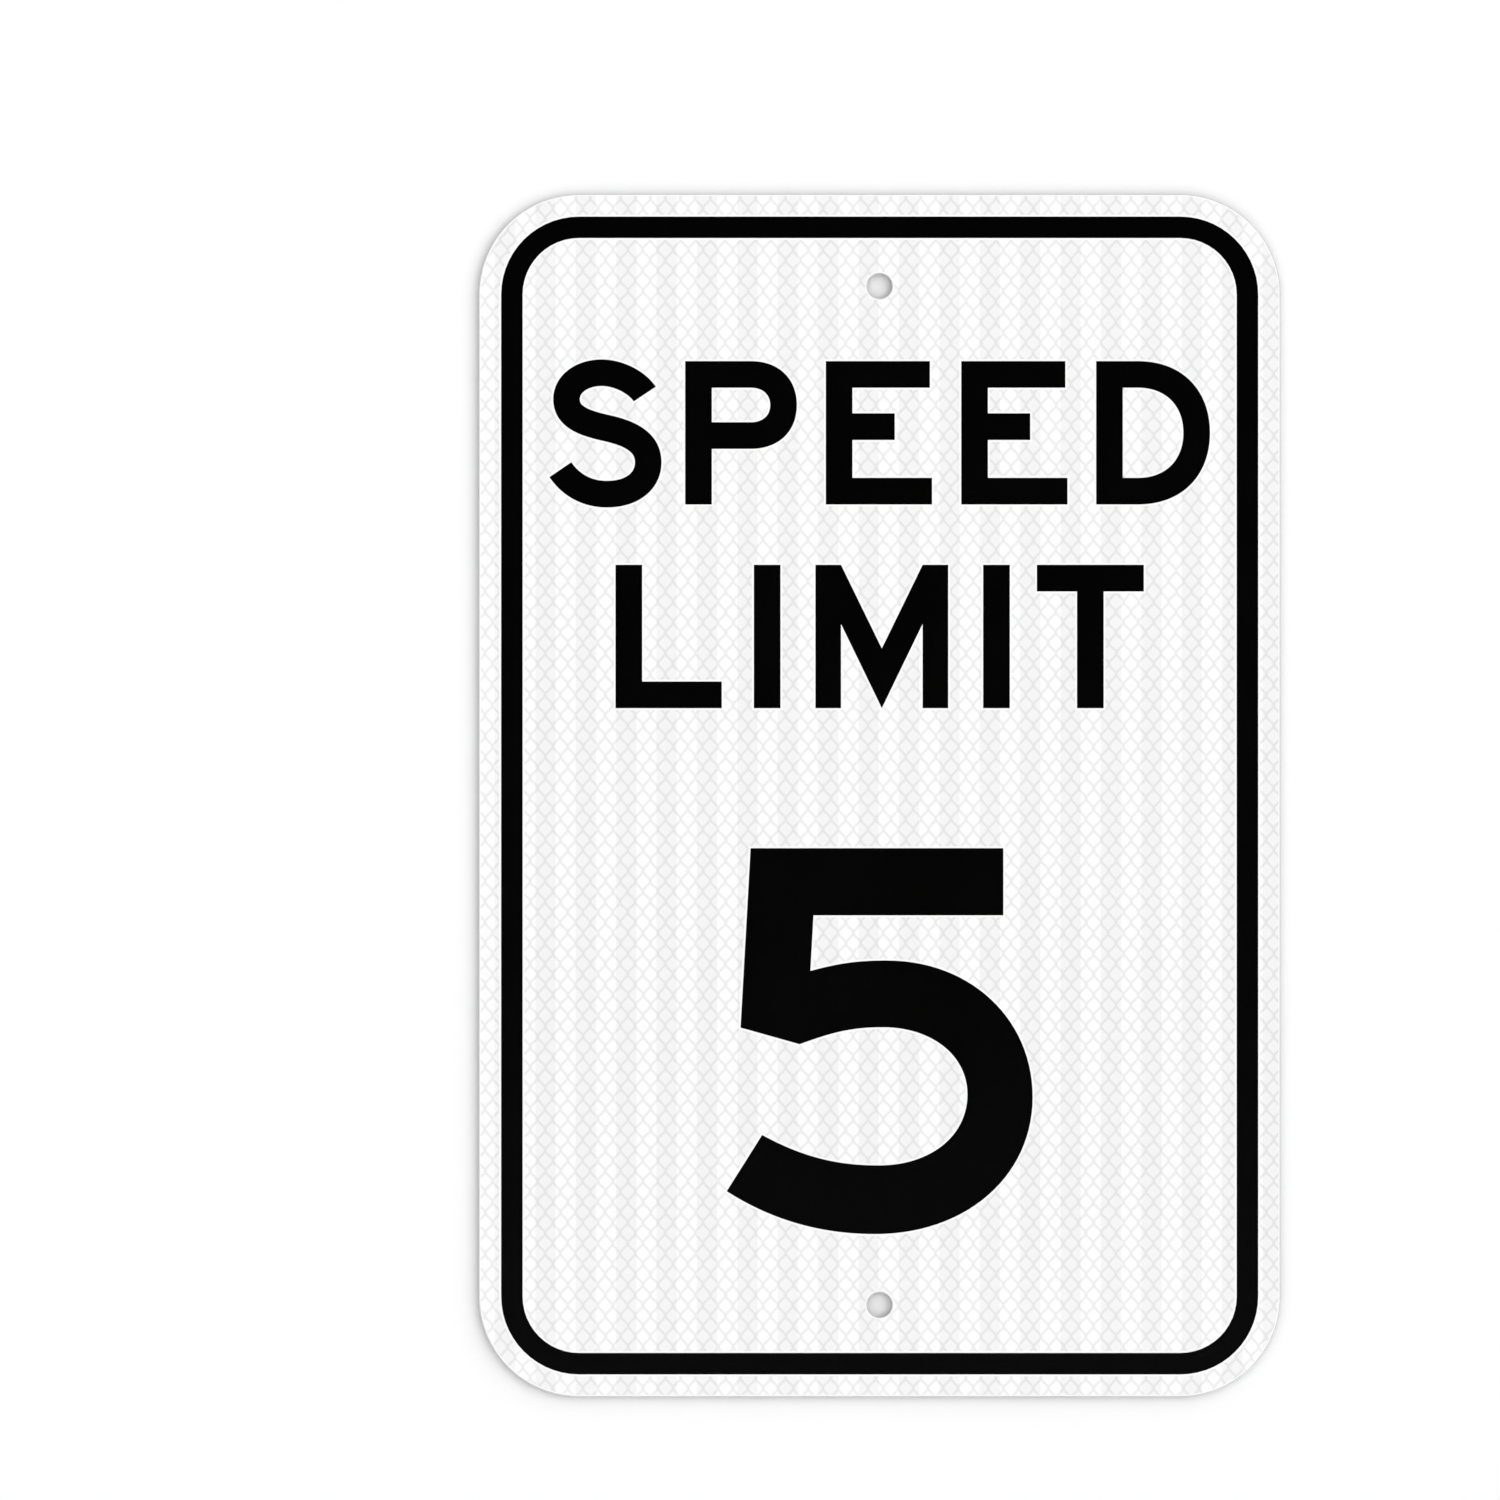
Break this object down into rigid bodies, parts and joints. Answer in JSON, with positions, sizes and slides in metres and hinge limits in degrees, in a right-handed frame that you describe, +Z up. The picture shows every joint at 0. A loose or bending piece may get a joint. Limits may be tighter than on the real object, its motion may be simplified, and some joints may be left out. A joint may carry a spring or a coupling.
{
  "type": "speed limit sign",
  "caption": "Flat upright traffic sign: stamped aluminium sheet with round corners, reflective film face, printed border and bolt holes at top and bottom centre.",
  "frame": {"origin": "on the flat back face, midway between the two bolt holes", "axes": "+Z up along the sign's long side as it hangs, +Y out of the back face towards the post, +X to the right as the printed face is read, so the printed face looks towards -Y"},
  "size_m": [0.3048, 0.0014, 0.4572],
  "materials": {
    "blank_aluminium": "bare mill sheet with a fine rolling grain",
    "white_film": "smooth clear face over white prismatic cells",
    "black_ink": "even opaque black, semi-gloss"
  },
  "bodies": {
    "root": {"aluminium_blank": "blank_aluminium", "reflective_film": "white_film", "printed_border": "black_ink"}
  },
  "joints": []
}
